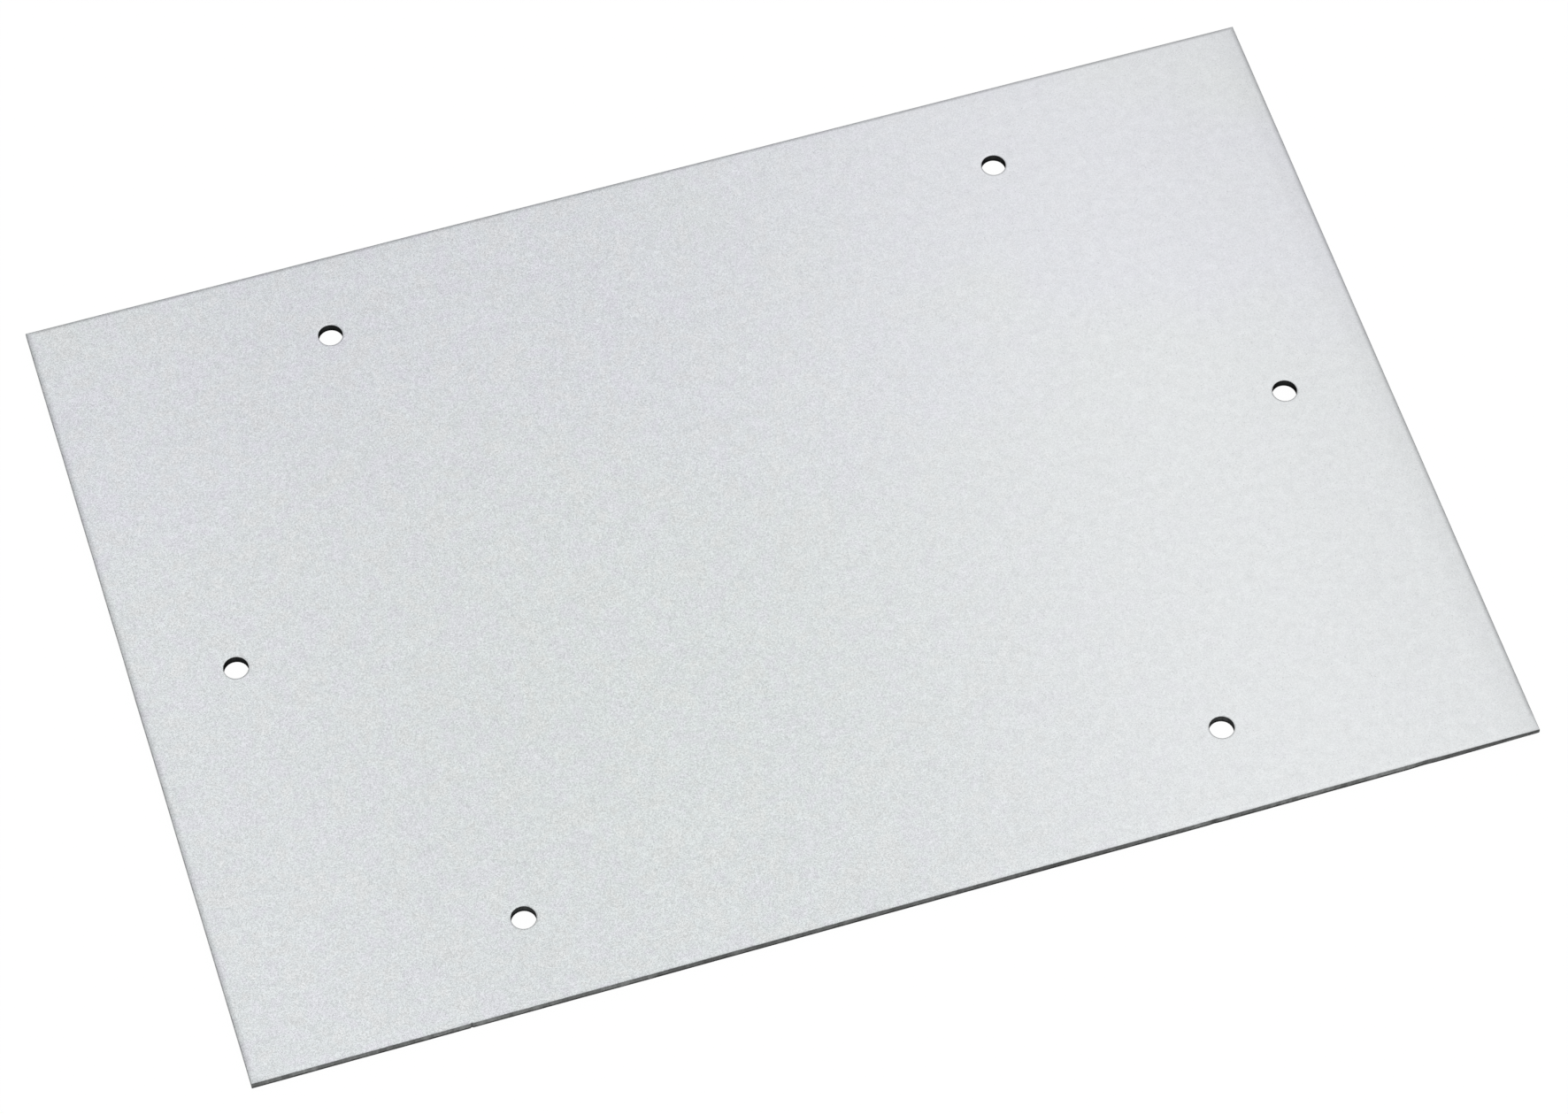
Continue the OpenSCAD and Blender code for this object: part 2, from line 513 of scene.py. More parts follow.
# %% [markdown]
# ## Hot-dip galvanised sheet
#
# The sheet ran through a bath of molten zinc, and then between rollers that pressed a
# fine matt grain into the coat. So it is a bright metal with a soft, wide gloss. Close
# up there is a salt-and-pepper grain, crystals of about a millimetre that hardly show,
# and faint streaks along the rolling direction. From further off the coat's thickness
# and its oxide tint it in soft clouds, bluish towards the back and greenish in one broad
# place left of the middle. Towards the right end all these marks fade, which paints how
# the broad highlight there washes out the grain.
#
# Every layer is a noise whose scale is one over its real size, since Object coordinates
# are in metres. The grain is the random colour of Voronoi cells and not a noise, because
# neighbouring cells have nothing in common, as with real grit, while a noise is smooth.
# The brightness of the layers is added up first and then scales the tint.

# %% Marks in the zinc
ZINC_PATCH = 7 * MM
ZINC_MOTTLE = 2.2 * MM
ZINC_SPANGLE = 0.9 * MM
# The rollers' real grit is about a tenth of a millimetre, less than half a pixel. It is
# drawn this coarse so that it still shows.
ZINC_GRAIN = 0.17 * MM
STREAK_LENGTH = 30 * MM
STREAK_WIDTH = 0.8 * MM
# The marks fade towards the right end as a painted highlight: the broad highlight there washes out the grain
FADE_FROM, FADE_TO = -30 * MM, 100 * MM
FADE_LEFT_OVER = 0.38
# How much of the brightness each layer moves, from its darkest to its lightest
GRAIN_SHARE, MOTTLE_SHARE, STREAK_SHARE, PATCH_SHARE, CRYSTAL_SHARE = 0.38, 0.02, 0.03, 0.03, 0.01
# One grain in thirty is a dark pit
PIT_FROM, PIT_LIGHT = 0.965, 0.8


def zinc_marks(tree, place, fade):
    """Brightness round 1, as the sum of share (layer - 1/2) over the layers, times the
    fade, plus 1, and all that times the light that is left in the pits."""
    streak_scale = (1 / STREAK_LENGTH, 1 / STREAK_WIDTH, 1 / STREAK_WIDTH)
    along = add_node(tree, "ShaderNodeMapping", {"vector_type": "POINT"}, Vector=place, Scale=streak_scale)
    streaks = add_node(tree, "ShaderNodeTexNoise", Vector=along.outputs[0], Scale=1.0, Detail=2.0)
    patches = add_node(tree, "ShaderNodeTexNoise", Vector=place, Scale=1 / ZINC_PATCH, Detail=3.0)
    mottle = add_node(tree, "ShaderNodeTexNoise", Vector=place, Scale=1 / ZINC_MOTTLE, Detail=2.0)
    spangle = add_node(tree, "ShaderNodeTexVoronoi", Vector=place, Scale=1 / ZINC_SPANGLE)
    crystal = add_node(tree, "ShaderNodeSeparateColor", Color=spangle.outputs["Color"])
    grit = add_node(tree, "ShaderNodeTexVoronoi", Vector=place, Scale=1 / ZINC_GRAIN)
    grain = add_node(tree, "ShaderNodeSeparateColor", Color=grit.outputs["Color"])

    layers = [(grain, GRAIN_SHARE), (mottle, MOTTLE_SHARE), (streaks, STREAK_SHARE)]
    layers += [(patches, PATCH_SHARE), (crystal, CRYSTAL_SHARE)]
    detail = -sum(share for layer, share in layers) / 2
    for layer, share in layers:
        total = add_node(
            tree, "ShaderNodeMath", {"operation": "MULTIPLY_ADD"},
            in_0=layer.outputs[0], in_1=share, in_2=detail,
        )
        detail = total.outputs[0]
    marked = add_node(tree, "ShaderNodeMath", {"operation": "MULTIPLY_ADD"}, in_0=detail, in_1=fade, in_2=1.0)
    pits = add_node(
        tree, "ShaderNodeMapRange", Value=grain.outputs[1],
        From_Min=PIT_FROM, From_Max=1.0, To_Min=1.0, To_Max=PIT_LIGHT,
    )
    return add_node(
        tree, "ShaderNodeMath", {"operation": "MULTIPLY"}, in_0=marked.outputs[0], in_1=pits.outputs[0]
    )


print("grain, crystals, mottle and patches, mm:",
      [round(size / MM, 2) for size in (ZINC_GRAIN, ZINC_SPANGLE, ZINC_MOTTLE, ZINC_PATCH)])

# %% Tint of the zinc
ZINC_CLOUD = 55 * MM
ZINC_TINT = 4 * MM
CLOUD_TINTS = [(0.3, "#D9DADE"), (0.55, "#D9DBDC")]
SPOT_TINTS = [(0.36, "#D9D9E2"), (0.5, "#D6DDDF"), (0.64, "#DADCDD")]
SPOTS_LEAST, SPOTS_MOST = 0.08, 0.42
BLUE_FROM, BLUE_TO = -30 * MM, 60 * MM
FRONT_LIFT, BACK_LIFT = 0.2, -0.18
# The thinnest oxide is greenish, in one broad cloud left of the middle
GREEN_TINT = "#D8DCDA"
GREEN_PLACE = (-36 * MM, -36 * MM, THICKNESS)
GREEN_REACH = 92 * MM


def zinc_tint(tree, place, axes, fade):
    """Large soft clouds of tint that turn bluish towards the back, and greenish smoothly
    from GREEN_REACH inwards to GREEN_PLACE, with small spots of a stronger tint mixed in
    where the marks haven't faded."""
    clouds = add_node(tree, "ShaderNodeTexNoise", Vector=place, Scale=1 / ZINC_CLOUD, Detail=2.0)
    across = add_node(
        tree, "ShaderNodeMapRange", {"interpolation_type": "SMOOTHSTEP"}, Value=axes.outputs["Y"],
        From_Min=BLUE_FROM, From_Max=BLUE_TO, To_Min=FRONT_LIFT, To_Max=BACK_LIFT,
    )
    cloud = add_node(
        tree, "ShaderNodeMath", {"operation": "ADD"}, in_0=clouds.outputs[0], in_1=across.outputs[0]
    )
    spots = add_node(tree, "ShaderNodeTexNoise", Vector=place, Scale=1 / ZINC_TINT, Detail=3.0)
    cloud_tint = add_node(tree, "ShaderNodeValToRGB", stops=CLOUD_TINTS, Fac=cloud.outputs[0])
    away = add_node(tree, "ShaderNodeVectorMath", {"operation": "DISTANCE"}, in_0=place, in_1=GREEN_PLACE)
    green = add_node(
        tree, "ShaderNodeMapRange", {"interpolation_type": "SMOOTHSTEP"}, Value=away.outputs["Value"],
        From_Min=0.0, From_Max=GREEN_REACH, To_Min=1.0, To_Max=0.0,
    )
    broad_tint = add_node(
        tree, "ShaderNodeMix", {"data_type": "RGBA"},
        Factor=green.outputs[0], in_6=cloud_tint.outputs[0], in_7=linear(GREEN_TINT),
    )
    spot_tint = add_node(tree, "ShaderNodeValToRGB", stops=SPOT_TINTS, Fac=spots.outputs[0])
    share = add_node(
        tree, "ShaderNodeMapRange", Value=fade,
        From_Min=FADE_LEFT_OVER, From_Max=1.0, To_Min=SPOTS_LEAST, To_Max=SPOTS_MOST,
    )
    return add_node(
        tree, "ShaderNodeMix", {"data_type": "RGBA"},
        Factor=share.outputs[0], in_6=broad_tint.outputs[MIX_RESULT], in_7=spot_tint.outputs[0],
    )


print("clouds and spots of tint, mm:", round(ZINC_CLOUD / MM), "and", round(ZINC_TINT / MM))

# %% [markdown]
# ## Painted light and shade on the zinc
#
# The brightness is painted to drift slowly along the sheet, with a painted highlight
# towards the right end, and to fall a little towards the back as painted shade. The tight
# rounding at a cut is darkened as painted shade where the rim turns down. That place is
# found by its height alone: it is where the height is furthest from both faces, so one
# ramp serves the outer edges and the hole mouths. A noise moves the shaded zone up and
# down a little, as its border isn't a clean line.

# %% Painted light and shade on the zinc
# The painted shade on a rim's tight rounding starts this far below a face
ROLL_SHADE_DEPTH = 0.42 * MM
# A noise moves the border of that painted shade up and down
ROLL_SHADE_STEP = 2 * MM
ROLL_SHADE_WANDER = 0.22 * MM
# Painted light along the sheet, brightest at a painted highlight towards the right end
SHEET_LIGHT_RAMP = [
    (0.0, "#FAFAFA"), (0.25, "#F6F6F6"), (0.42, "#F6F6F6"),
    (0.85, "#FFFFFF"), (0.97, "#FCFCFC"), (1.0, "#F5F5F5"),
]
# Painted shade over the rolled rims, darkest at the wall
ROLL_SHADE_RAMP = [(0.0, "#8C8C8C"), (0.35, "#BEBEBE"), (0.62, "#F6F6F6"), (1.0, "#FFFFFF")]
# Painted shade towards the back of the face
BACK_SHADE_FROM = 10 * MM
BACK_SHADE_SHARE = 0.98


def painted_zinc_light(tree, place, axes):
    """Three shares of painted light that multiply: a painted highlight along the sheet,
    painted shade towards the back, and painted shade over a roll, where |z - thickness / 2|
    plus a noise times the wander gives the way from the wall up to the face."""
    along = add_node(
        tree, "ShaderNodeMapRange", Value=axes.outputs["X"], From_Min=-LENGTH / 2, From_Max=LENGTH / 2
    )
    # Painted highlight and light along the sheet
    light_along = add_node(tree, "ShaderNodeValToRGB", stops=SHEET_LIGHT_RAMP, Fac=along.outputs[0])
    # Painted shade: the face darkens a little towards the back
    back = add_node(
        tree, "ShaderNodeMapRange", {"interpolation_type": "SMOOTHSTEP"}, Value=axes.outputs["Y"],
        From_Min=BACK_SHADE_FROM, From_Max=WIDTH / 2, To_Min=1.0, To_Max=BACK_SHADE_SHARE,
    )
    above = add_node(
        tree, "ShaderNodeMath", {"operation": "SUBTRACT"}, in_0=axes.outputs["Z"], in_1=THICKNESS / 2
    )
    from_middle = add_node(tree, "ShaderNodeMath", {"operation": "ABSOLUTE"}, in_0=above.outputs[0])
    steps = add_node(tree, "ShaderNodeTexNoise", Vector=place, Scale=1 / ROLL_SHADE_STEP, Detail=3.0)
    wandering = add_node(
        tree, "ShaderNodeMath", {"operation": "MULTIPLY_ADD"},
        in_0=steps.outputs[0], in_1=ROLL_SHADE_WANDER, in_2=from_middle.outputs[0],
    )
    face = (THICKNESS + ROLL_SHADE_WANDER) / 2
    up_roll = add_node(
        tree, "ShaderNodeMapRange", Value=wandering.outputs[0], From_Min=face - ROLL_SHADE_DEPTH, From_Max=face
    )
    # Painted shade on the tight rounding where a rim turns down
    shade_ramp = add_node(tree, "ShaderNodeValToRGB", stops=ROLL_SHADE_RAMP, Fac=up_roll.outputs[0])
    return [shade_ramp.outputs[0], light_along.outputs[0], back.outputs[0]]


# The painted shade on the rims starts this far below a face
print("coat wears from this far below a face, mm:", round(ROLL_SHADE_DEPTH / MM, 2))

# %% Zinc coat
ZINC_ROUGHNESS, ROUGHNESS_SPREAD = 0.34, 0.03
ZINC_PEEL = 0.6 * MM
PEEL_HEIGHT, PEEL_STRENGTH = 0.006 * MM, 0.2


def hot_dip_zinc():
    """Satin zinc, a metal whose colour is its tint times its brightness, which carries painted
    light and shade. A faint peel of the coat bends the light a little."""
    material, tree, shader = new_finish("hot_dip_galvanised_zinc")
    place = add_node(tree, "ShaderNodeTexCoord").outputs["Object"]
    axes = add_node(tree, "ShaderNodeSeparateXYZ", Vector=place)
    # The fade towards the right paints the broad highlight washing out the marks
    fade = add_node(
        tree, "ShaderNodeMapRange", {"interpolation_type": "SMOOTHSTEP"}, Value=axes.outputs["X"],
        From_Min=FADE_FROM, From_Max=FADE_TO, To_Min=1.0, To_Max=FADE_LEFT_OVER,
    ).outputs[0]
    light = zinc_marks(tree, place, fade).outputs[0]
    # The painted light and shade multiply into the brightness
    for share in painted_zinc_light(tree, place, axes):
        light = add_node(tree, "ShaderNodeMath", {"operation": "MULTIPLY"}, in_0=light, in_1=share).outputs[0]
    tint = zinc_tint(tree, place, axes, fade).outputs[MIX_RESULT]
    colour = add_node(tree, "ShaderNodeVectorMath", {"operation": "SCALE"}, Vector=tint, Scale=light)
    sheen = add_node(tree, "ShaderNodeTexNoise", Vector=place, Scale=1 / ZINC_MOTTLE, Detail=2.0)
    gloss = add_node(
        tree, "ShaderNodeMapRange", Value=sheen.outputs[0], From_Min=NOISE_LOW, From_Max=NOISE_HIGH,
        To_Min=ZINC_ROUGHNESS - ROUGHNESS_SPREAD, To_Max=ZINC_ROUGHNESS + ROUGHNESS_SPREAD,
    )
    peel = add_node(tree, "ShaderNodeTexNoise", Vector=place, Scale=1 / ZINC_PEEL, Detail=1.0)
    bump = add_node(
        tree, "ShaderNodeBump", Height=peel.outputs[0], Strength=PEEL_STRENGTH, Distance=PEEL_HEIGHT
    )
    tree.links.new(colour.outputs[0], shader.inputs["Base Color"])
    tree.links.new(gloss.outputs[0], shader.inputs["Roughness"])
    tree.links.new(bump.outputs[0], shader.inputs["Normal"])
    shader.inputs["Metallic"].default_value = 1.0
    return material


plate.data.materials.append(hot_dip_zinc())
print("zinc roughness:", ZINC_ROUGHNESS)

# %% [markdown]
# ## Sheared steel
#
# The zinc stops at the rolled rim, and the cut shows bare steel. The land is burnished by
# the blade, so it is a smooth mid grey with fine upright drag lines. Below it the torn
# band is darker, rougher and matt, and its dark grey also carries painted contact shadow
# at the foot of the cut. The line between the two isn't straight: it wanders up and down
# by a tenth of a millimetre, so the height is compared with a noise.
#
# The cut is painted brighter in some stretches and darker in others, as light and shade
# along it, and it is darkened in a nick as painted shade in the dent.

# %% Drag lines and nicks
# Real drag lines are a few hundredths of a millimetre wide, in bundles of a millimetre or
# two. The lines are drawn this coarse so that they still show.
DRAG_BUNDLE = 1.8 * MM
DRAG_LINE = 0.3 * MM
DRAG_HEIGHT = 12 * MM
LINE_SHARE = 0.17
LINE_DEPTH, LINE_STRENGTH = 0.01 * MM, 0.5
# Painted light and shade along the cut, by place along X
CUT_LIGHT_ALONG = [
    (0.0, "#FFFFFF"), (0.1, "#F1F1F1"), (0.29, "#F1F1F1"), (0.34, "#C5C5C5"),
    (0.57, "#C5C5C5"), (0.61, "#A0A0A0"), (0.69, "#CACACA"), (0.735, "#EDEDED"),
    (0.89, "#EDEDED"), (0.94, "#ACACAC"), (1.0, "#868686"),
]
# Share of light that is left in the middle of each nick, in the order of NICKS, as painted shade in the dent
NICK_LIGHT = [0.28, 0.22, 1.0]
NICK_SPREAD = 2.5


def drag_lines(tree, place):
    """A smooth noise for the bundles plus LINE_SHARE (cell - 1/2) for the lines, where cell
    is the random value of a narrow cell. Both are stretched along Z, across the cut."""
    drag_scale = (1 / DRAG_BUNDLE, 1 / DRAG_BUNDLE, 1 / DRAG_HEIGHT)
    upright = add_node(tree, "ShaderNodeMapping", {"vector_type": "POINT"}, Vector=place, Scale=drag_scale)
    bundles = add_node(
        tree, "ShaderNodeTexNoise", Vector=upright.outputs[0], Scale=1.0, Detail=3.0, Roughness=0.6
    )
    cells = add_node(
        tree, "ShaderNodeTexVoronoi", Vector=upright.outputs[0], Scale=DRAG_BUNDLE / DRAG_LINE
    )
    cell = add_node(tree, "ShaderNodeSeparateColor", Color=cells.outputs["Color"])
    line = add_node(
        tree, "ShaderNodeMapRange", Value=cell.outputs[0], To_Min=-LINE_SHARE / 2, To_Max=LINE_SHARE / 2
    )
    return add_node(
        tree, "ShaderNodeMath", {"operation": "ADD"}, in_0=bundles.outputs[0], in_1=line.outputs[0]
    )


def cut_light_and_shade(tree, along):
    """Share of painted light along the cut: its brighter and darker stretches, times a smooth
    dip of painted shade at each nick that ends at NICK_SPREAD half widths from its middle."""
    share = add_node(tree, "ShaderNodeMapRange", Value=along, From_Min=-LENGTH / 2, From_Max=LENGTH / 2)
    light = add_node(tree, "ShaderNodeValToRGB", stops=CUT_LIGHT_ALONG, Fac=share.outputs[0]).outputs[0]
    for (middle, half_width), left_over in zip(NICKS[:, :2], NICK_LIGHT):
        aside = add_node(tree, "ShaderNodeMath", {"operation": "SUBTRACT"}, in_0=along, in_1=middle)
        distance = add_node(tree, "ShaderNodeMath", {"operation": "ABSOLUTE"}, in_0=aside.outputs[0])
        dip = add_node(
            tree, "ShaderNodeMapRange", {"interpolation_type": "SMOOTHSTEP"}, Value=distance.outputs[0],
            From_Min=0.0, From_Max=NICK_SPREAD * half_width, To_Min=left_over, To_Max=1.0,
        )
        light = add_node(
            tree, "ShaderNodeMath", {"operation": "MULTIPLY"}, in_0=light, in_1=dip.outputs[0]
        ).outputs[0]
    return light


print("drag lines, mm:", round(DRAG_LINE / MM, 2), "nicks:", len(NICKS))

# %% Cut edge
CUT_PATCH = 9 * MM
LAND_GREYS = [(0.35, "#606261"), (0.65, "#787A79")]
# The torn steel's own darker grey, with painted contact shadow at the foot of the cut
TORN_AND_SHADOW_GREY = "#414241"
TEAR_GRAIN = 0.18 * MM
TEAR_STEP = 0.9 * MM
TEAR_WANDER = 0.7 * MM
TEAR_BLEND = 0.10 * MM
TEAR_DEPTH, TEAR_STRENGTH = 0.04 * MM, 0.6
LINE_DARK, LINE_LIGHT = 0.6, 1.4
LAND_ROUGHNESS, TEAR_ROUGHNESS = 0.36, 0.62


def sheared_steel():
    """Bare steel, a mid grey metal: a burnished land above and a dark, matt, torn band
    below, where the height plus TEAR_WANDER (noise - 1/2) is under TEAR_HEIGHT. The torn
    band's dark grey also carries painted contact shadow."""
    material, tree, shader = new_finish("sheared_bare_steel")
    place = add_node(tree, "ShaderNodeTexCoord").outputs["Object"]
    axes = add_node(tree, "ShaderNodeSeparateXYZ", Vector=place)
    drag = drag_lines(tree, place)
    patches = add_node(tree, "ShaderNodeTexNoise", Vector=place, Scale=1 / CUT_PATCH, Detail=2.0)
    torn_grain = add_node(tree, "ShaderNodeTexNoise", Vector=place, Scale=1 / TEAR_GRAIN, Detail=3.0)
    steps = add_node(tree, "ShaderNodeTexNoise", Vector=place, Scale=1 / TEAR_STEP, Detail=2.0)
    wandering = add_node(
        tree, "ShaderNodeMath", {"operation": "MULTIPLY_ADD"},
        in_0=steps.outputs[0], in_1=TEAR_WANDER, in_2=axes.outputs["Z"],
    )
    line = TEAR_HEIGHT + TEAR_WANDER / 2
    torn = add_node(
        tree, "ShaderNodeMapRange", {"interpolation_type": "SMOOTHSTEP"}, Value=wandering.outputs[0],
        From_Min=line - TEAR_BLEND, From_Max=line + TEAR_BLEND, To_Min=1.0, To_Max=0.0,
    )
    land = add_node(tree, "ShaderNodeValToRGB", stops=LAND_GREYS, Fac=patches.outputs[0])
    grey = add_node(
        tree, "ShaderNodeMix", {"data_type": "RGBA"},
        Factor=torn.outputs[0], in_6=land.outputs[0], in_7=linear(TORN_AND_SHADOW_GREY),
    )
    lines = add_node(
        tree, "ShaderNodeMapRange", Value=drag.outputs[0],
        From_Min=NOISE_LOW, From_Max=NOISE_HIGH, To_Min=LINE_DARK, To_Max=LINE_LIGHT,
    )
    light = add_node(
        tree, "ShaderNodeMath", {"operation": "MULTIPLY"},
        in_0=lines.outputs[0], in_1=cut_light_and_shade(tree, axes.outputs["X"]),
    )
    colour = add_node(
        tree, "ShaderNodeVectorMath", {"operation": "SCALE"},
        Vector=grey.outputs[MIX_RESULT], Scale=light.outputs[0],
    )
    gloss = add_node(
        tree, "ShaderNodeMapRange", Value=torn.outputs[0], To_Min=LAND_ROUGHNESS, To_Max=TEAR_ROUGHNESS
    )
    relief = add_node(
        tree, "ShaderNodeMath", {"operation": "MULTIPLY"}, in_0=torn_grain.outputs[0], in_1=torn.outputs[0]
    )
    torn_bump = add_node(
        tree, "ShaderNodeBump", Height=relief.outputs[0], Strength=TEAR_STRENGTH, Distance=TEAR_DEPTH
    )
    bump = add_node(
        tree, "ShaderNodeBump", Height=drag.outputs[0], Strength=LINE_STRENGTH, Distance=LINE_DEPTH,
        Normal=torn_bump.outputs[0],
    )
    tree.links.new(colour.outputs[0], shader.inputs["Base Color"])
    tree.links.new(gloss.outputs[0], shader.inputs["Roughness"])
    tree.links.new(bump.outputs[0], shader.inputs["Normal"])
    shader.inputs["Metallic"].default_value = 1.0
    return material


plate.data.materials.append(sheared_steel())
print("torn below, mm:", TEAR_HEIGHT / MM)

# %% [markdown]
# ## Punched hole wall
#
# The wall of a punched hole is bare steel with the same upright drag lines. Its grey, much
# darker than the outer edge, is painted shade inside the narrow hole laid over the steel's
# own grey, darker still towards its foot, and the painted shade is lighter in the two
# front holes. A metal turns white where it is seen at a low angle, and the shader's tint
# for low angles is a dark grey, which paints shade over that reflection.

# %% Hole wall
# The wall greys are painted shade inside the hole, over the steel's own grey
WALL_SHADE_GREYS = [(0.35, "#2E2F2F"), (0.65, "#383939")]
# Low-angle tint kept dark as painted shade over the wall's reflection
LOW_ANGLE_SHADE_GREY = "#848484"
WALL_ROUGHNESS = 0.5
# Painted shade that deepens towards the foot of the wall
WALL_DARK_BELOW, WALL_LIGHT_ABOVE, FOOT_SHADE_LIGHT = 0.2 * MM, 1.1 * MM, 0.5
# Painted light: the two front holes are lighter
FRONT_LIT_BEFORE, SHADED_BEHIND, FRONT_HOLE_LIGHT = -60 * MM, -20 * MM, 2.1


def punched_steel():
    """Steel with upright drag lines, darkened by painted shade. The painted shade deepens
    towards the foot and is lighter in the two front holes."""
    material, tree, shader = new_finish("punched_oiled_steel")
    place = add_node(tree, "ShaderNodeTexCoord").outputs["Object"]
    axes = add_node(tree, "ShaderNodeSeparateXYZ", Vector=place)
    drag = drag_lines(tree, place)
    shade_ramp = add_node(tree, "ShaderNodeValToRGB", stops=WALL_SHADE_GREYS, Fac=drag.outputs[0])
    # Painted shade deepening towards the foot of the wall
    foot = add_node(
        tree, "ShaderNodeMapRange", {"interpolation_type": "SMOOTHSTEP"}, Value=axes.outputs["Z"],
        From_Min=WALL_DARK_BELOW, From_Max=WALL_LIGHT_ABOVE, To_Min=FOOT_SHADE_LIGHT, To_Max=1.0,
    )
    # Painted light in the two front holes
    front_light = add_node(
        tree, "ShaderNodeMapRange", {"interpolation_type": "SMOOTHSTEP"}, Value=axes.outputs["Y"],
        From_Min=FRONT_LIT_BEFORE, From_Max=SHADED_BEHIND, To_Min=FRONT_HOLE_LIGHT, To_Max=1.0,
    )
    light = add_node(
        tree, "ShaderNodeMath", {"operation": "MULTIPLY"}, in_0=foot.outputs[0], in_1=front_light.outputs[0]
    )
    colour = add_node(
        tree, "ShaderNodeVectorMath", {"operation": "SCALE"}, Vector=shade_ramp.outputs[0], Scale=light.outputs[0]
    )
    bump = add_node(
        tree, "ShaderNodeBump", Height=drag.outputs[0], Strength=LINE_STRENGTH, Distance=LINE_DEPTH
    )
    tree.links.new(colour.outputs[0], shader.inputs["Base Color"])
    tree.links.new(bump.outputs[0], shader.inputs["Normal"])
    shader.inputs["Metallic"].default_value = 1.0
    shader.inputs["Specular Tint"].default_value = linear(LOW_ANGLE_SHADE_GREY)
    shader.inputs["Roughness"].default_value = WALL_ROUGHNESS
    return material


plate.data.materials.append(punched_steel())
print("finishes:", [material.name for material in plate.data.materials])

# %% [markdown]
# ## Floor and background
#
# The plate lies on a white sheet that runs off into a white background. The floor's
# colour is white by itself for the camera, for reflections and through the holes, and
# only a part of it answers to the light, so a soft shadow stays under the plate. It lies
# a hair below the plate. From below it is see-through, so that the burr side can be
# looked at.

# %% Floor
FLOOR_GAP = 0.2 * MM
FLOOR_HALF = 4.0
FLOOR_SHADOW_SHARE = 0.04
# A hair over 1, because the lit part of the white is dimmer than the rest
FLOOR_OWN_LIGHT = 1.015
PAPER_WHITE = "#F4F5F5"


def white_floor():
    """A white that shows to the camera and in reflections, with a part of real shading."""
    material = bpy.data.materials.new("matt_white_paper")
    tree = empty_tree(material)
    rays = add_node(tree, "ShaderNodeLightPath")
    seen = add_node(
        tree, "ShaderNodeMath", {"operation": "MAXIMUM"},
        in_0=rays.outputs["Is Camera Ray"], in_1=rays.outputs["Is Glossy Ray"],
    )
    shown = add_node(
        tree, "ShaderNodeMath", {"operation": "MAXIMUM"},
        in_0=seen.outputs[0], in_1=rays.outputs["Is Transmission Ray"],
    )
    share = add_node(
        tree, "ShaderNodeMath", {"operation": "MULTIPLY"}, in_0=shown.outputs[0], in_1=1 - FLOOR_SHADOW_SHARE
    )
    paper = add_node(tree, "ShaderNodeBsdfDiffuse", Color=linear(PAPER_WHITE))
    own_light = add_node(tree, "ShaderNodeEmission", Color=linear(PURE_WHITE), Strength=FLOOR_OWN_LIGHT)
    lit = add_node(
        tree, "ShaderNodeMixShader", in_0=share.outputs[0], in_1=paper.outputs[0], in_2=own_light.outputs[0]
    )
    clear = add_node(tree, "ShaderNodeBsdfTransparent")
    side = add_node(tree, "ShaderNodeNewGeometry")
    one_sided = add_node(
        tree, "ShaderNodeMixShader",
        in_0=side.outputs["Backfacing"], in_1=lit.outputs[0], in_2=clear.outputs[0],
    )
    add_node(tree, "ShaderNodeOutputMaterial", Surface=one_sided.outputs[0])
    return material


floor_mesh = bpy.data.meshes.new("paper_floor")
floor_corners = np.array([[-1, -1], [1, -1], [1, 1], [-1, 1]]) * FLOOR_HALF
floor_points = np.c_[floor_corners, np.full(len(floor_corners), -FLOOR_GAP)]
floor_mesh.from_pydata(floor_points.tolist(), [], [[0, 1, 2, 3]])
floor_mesh.materials.append(white_floor())
floor = bpy.data.objects.new("paper_floor", floor_mesh)
bpy.context.scene.collection.objects.link(floor)
print("floor, m:", 2 * FLOOR_HALF, "square")

# %% [markdown]
# ## Light
#
# A metal face shows its surroundings, and nothing else. To look even and pale it needs a
# sky that is even and pale, here a white dome that is brightest overhead and falls off
# towards the horizon. That fall is what draws the rims: the rolled rim tips its
# reflection down to the dimmer part of the dome, so the far edges darken softly, while
# the front one stays bright. The dome is also brightest a little to the right of the
# middle, which gives the slow rise in brightness from left to right.

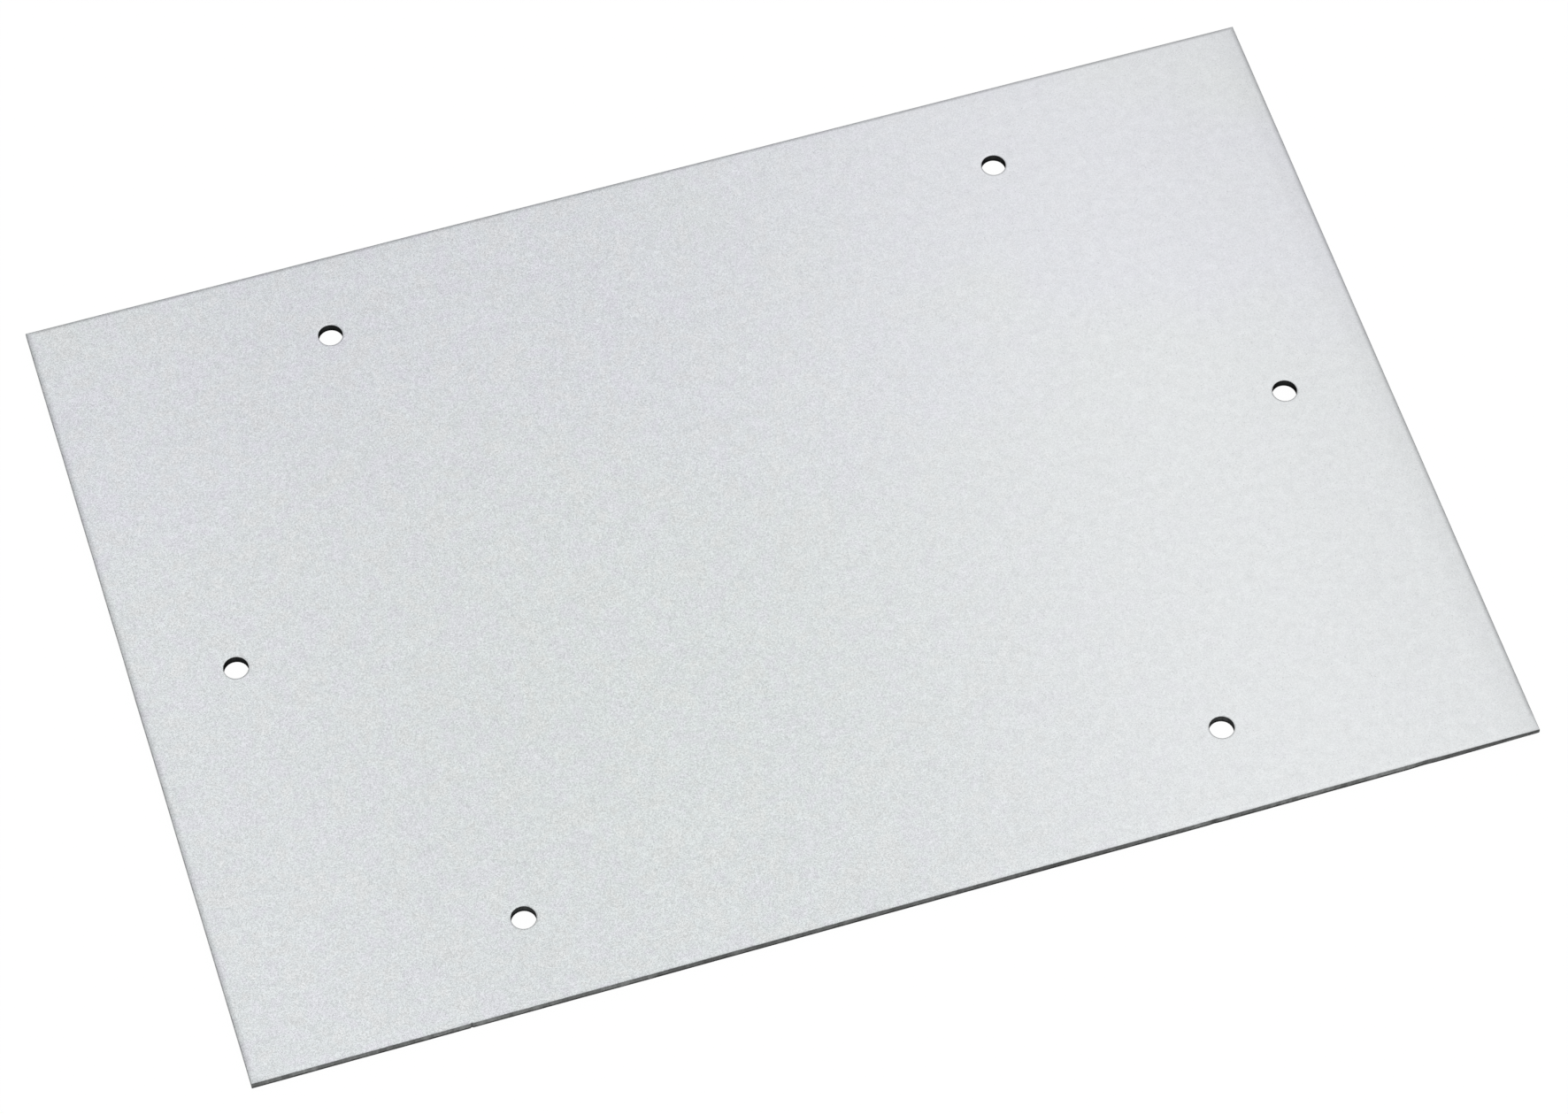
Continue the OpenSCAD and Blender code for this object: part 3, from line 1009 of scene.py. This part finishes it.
# %% Dome
DOME_HIGH = 1.297
DOME_LOW = 0.50
DOME_HIGH_FROM = 0.88
DOME_LOW_TO = 0.35
SIDE_PEAK = 0.25
SIDE_REACH = 0.6
SIDE_FALL = 0.30


def white_dome():
    """A world that is white to the camera. For all else its strength rises smoothly with the
    height z of the direction, from DOME_LOW at DOME_LOW_TO to DOME_HIGH at DOME_HIGH_FROM.
    To both sides of x = SIDE_PEAK it falls smoothly by the share SIDE_FALL at SIDE_REACH."""
    world = bpy.data.worlds.new("white_dome")
    tree = empty_tree(world)
    direction = add_node(tree, "ShaderNodeTexCoord").outputs["Generated"]
    axes = add_node(tree, "ShaderNodeSeparateXYZ", Vector=direction)
    height = add_node(
        tree, "ShaderNodeMapRange", {"interpolation_type": "SMOOTHSTEP"}, Value=axes.outputs["Z"],
        From_Min=DOME_LOW_TO, From_Max=DOME_HIGH_FROM, To_Min=DOME_LOW, To_Max=DOME_HIGH,
    )
    aside = add_node(
        tree, "ShaderNodeMath", {"operation": "SUBTRACT"}, in_0=axes.outputs["X"], in_1=SIDE_PEAK
    )
    distance = add_node(tree, "ShaderNodeMath", {"operation": "ABSOLUTE"}, in_0=aside.outputs[0])
    side = add_node(
        tree, "ShaderNodeMapRange", {"interpolation_type": "SMOOTHSTEP"}, Value=distance.outputs[0],
        From_Min=0.0, From_Max=SIDE_REACH, To_Min=1.0, To_Max=1 - SIDE_FALL,
    )
    light = add_node(
        tree, "ShaderNodeMath", {"operation": "MULTIPLY"}, in_0=height.outputs[0], in_1=side.outputs[0]
    )
    rays = add_node(tree, "ShaderNodeLightPath")
    strength = add_node(
        tree, "ShaderNodeMix", {"data_type": "FLOAT"},
        in_0=rays.outputs["Is Camera Ray"], in_2=light.outputs[0], in_3=1.0,
    )
    sky = add_node(tree, "ShaderNodeBackground", Color=linear(PURE_WHITE), Strength=strength.outputs[0])
    add_node(tree, "ShaderNodeOutputWorld", Surface=sky.outputs[0])
    return world


bpy.context.scene.world = white_dome()
bpy.context.scene.view_settings.view_transform = "Standard"
print("dome, low to high:", DOME_LOW, DOME_HIGH)
